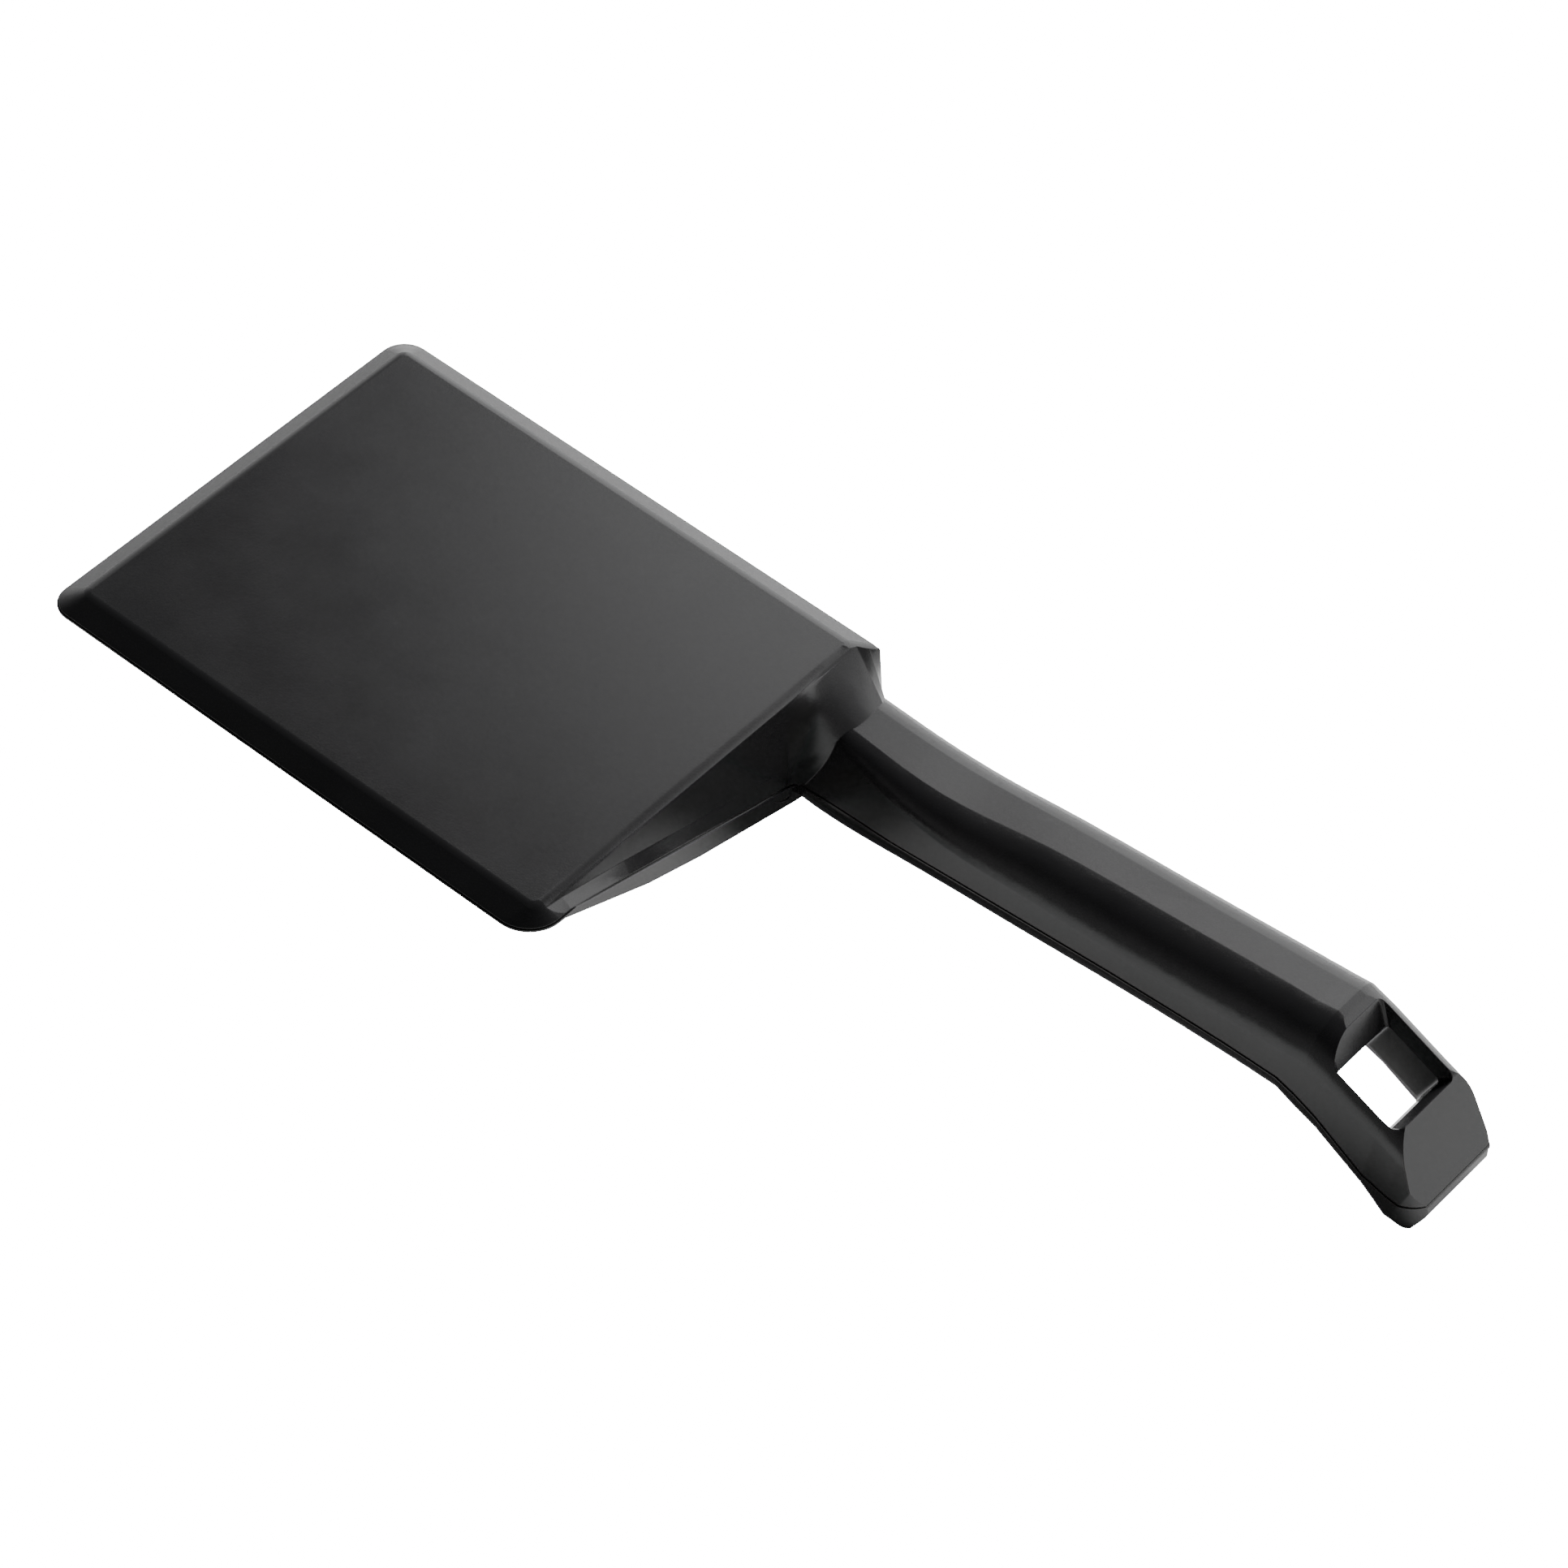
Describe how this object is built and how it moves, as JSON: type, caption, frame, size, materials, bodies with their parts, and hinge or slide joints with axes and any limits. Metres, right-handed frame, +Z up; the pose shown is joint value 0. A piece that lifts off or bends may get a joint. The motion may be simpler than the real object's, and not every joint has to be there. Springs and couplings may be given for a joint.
{
  "type": "mortar hawk",
  "caption": "One-hand mortar hawk: flat rectangular deck with a bevelled rim, and a moulded handle running on from one back corner to a down-turned end with a hanging hole.",
  "frame": {"origin": "middle of the underside of the bounding box, with the deck level", "axes": "+X from the deck's free end along the handle, +Z up out of the working face of the deck, +Y towards the long side that runs straight on into the handle"},
  "size_m": [0.3636, 0.1336, 0.0428],
  "materials": {
    "shell_plastic": "satin black, fine moulded grain",
    "bead_plastic": "glossier black, melted and set along the seam"
  },
  "bodies": {
    "root": {"upper_shell": "shell_plastic", "lower_shell": "shell_plastic", "weld_bead": "bead_plastic"}
  },
  "joints": []
}
